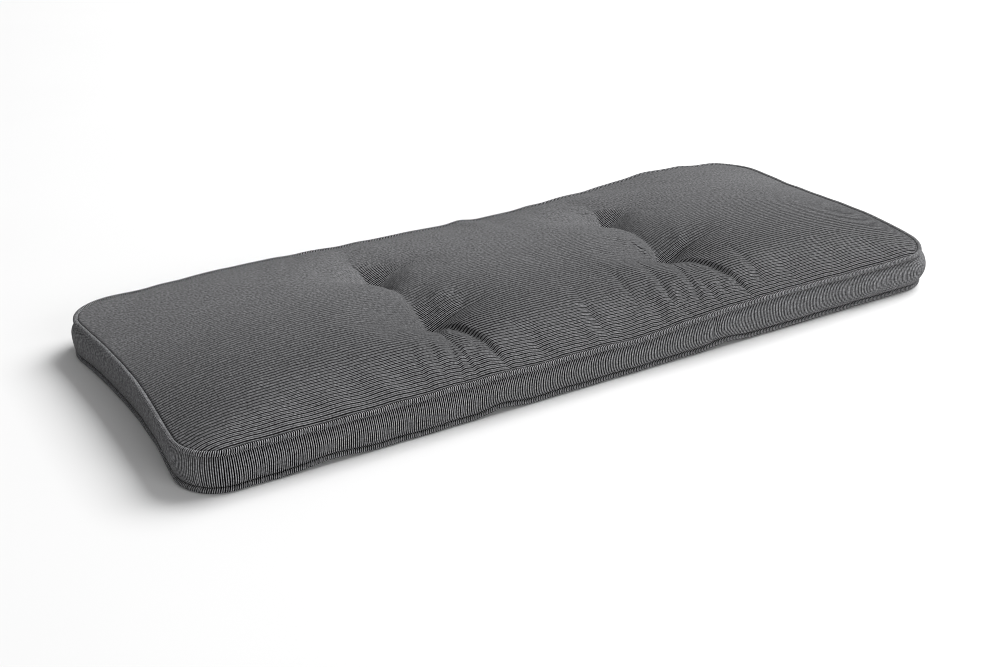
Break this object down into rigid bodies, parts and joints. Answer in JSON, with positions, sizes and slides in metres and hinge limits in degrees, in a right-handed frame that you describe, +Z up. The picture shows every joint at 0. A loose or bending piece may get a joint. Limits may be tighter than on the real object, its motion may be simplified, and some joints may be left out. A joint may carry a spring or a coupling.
{
  "type": "bench cushion",
  "caption": "Long flat box cushion for a bench seat, with a crowned tufted top, rounded corners, a boxing strip round the side and piping in both seams.",
  "frame": {"origin": "middle of the flat underside, below the middle of the bounding box", "axes": "+X along the cushion's length, +Y across its width to the back edge, +Z up through its thickness"},
  "size_m": [1.214, 0.5112, 0.0915],
  "materials": {
    "striped_cloth": "matte woven cloth with fine dark and light stripes"
  },
  "bodies": {
    "root": {"filled_pad": "striped_cloth", "boxing_strip": "striped_cloth", "piping_top": "striped_cloth", "piping_bottom": "striped_cloth"}
  },
  "joints": []
}
